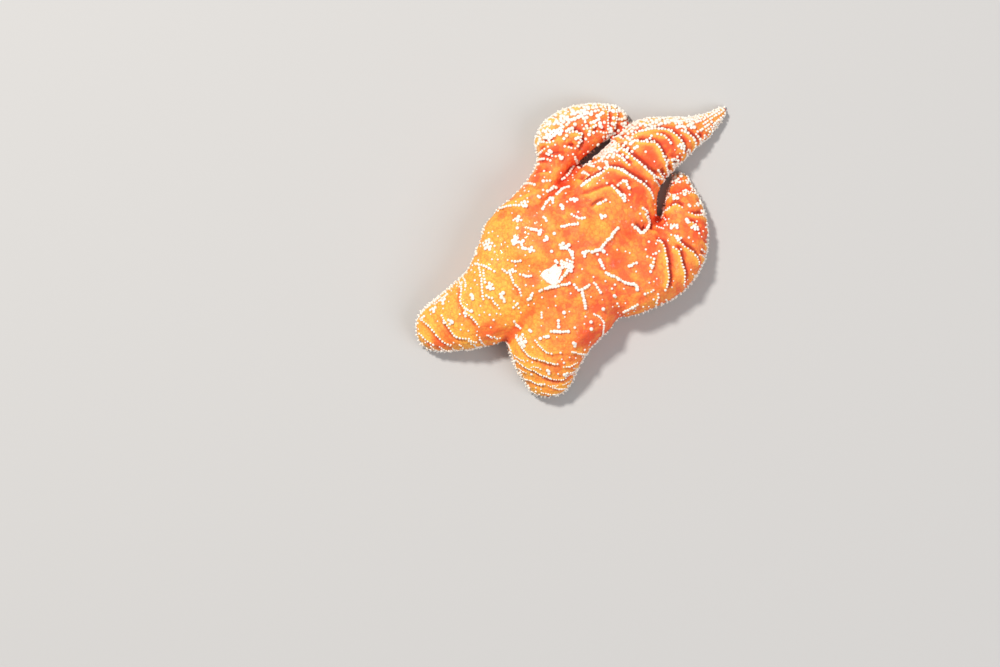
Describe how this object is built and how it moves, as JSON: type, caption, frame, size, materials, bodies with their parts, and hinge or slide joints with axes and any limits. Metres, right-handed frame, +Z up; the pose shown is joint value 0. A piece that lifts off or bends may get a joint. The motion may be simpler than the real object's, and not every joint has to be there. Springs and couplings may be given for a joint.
{
  "type": "ochre sea star",
  "caption": "Still, life-size orange starfish: a domed disc with thick, bent arms that lie on the floor, white spines on top and grooves beneath.",
  "frame": {"origin": "middle of the underside of the star's box, on the floor", "axes": "+Z up out of the back of the animal, +X to the side of the east arm and the pointed end of the northeast arm, +Y to the side of the north and northeast arms"},
  "size_m": [0.234, 0.2216, 0.0513],
  "materials": {
    "skin": "wet orange skin with fine pebbles, yellower on the crests and redder in the creases",
    "spines": "blunt white limy spines, smooth",
    "madreporite": "chalky white, finely grooved",
    "eyespot": "glossy dark red",
    "mouth": "soft wet membrane, pale tan",
    "tube_feet": "soft, translucent amber"
  },
  "bodies": {
    "root": {"disc": "skin", "arm_west_base": "skin", "arm_west_middle": "skin", "arm_west_tip": "skin", "arm_south_base": "skin", "arm_south_middle": "skin", "arm_south_tip": "skin", "arm_east_base": "skin", "arm_east_middle": "skin", "arm_east_tip": "skin", "arm_northeast_base": "skin", "arm_northeast_middle": "skin", "arm_northeast_tip": "skin", "arm_north_base": "skin", "arm_north_middle": "skin", "arm_north_tip": "skin", "madreporite": "madreporite", "mouth": "mouth", "eyespot_west": "eyespot", "eyespot_south": "eyespot", "eyespot_east": "eyespot", "eyespot_northeast": "eyespot", "eyespot_north": "eyespot"}
  },
  "joints": []
}
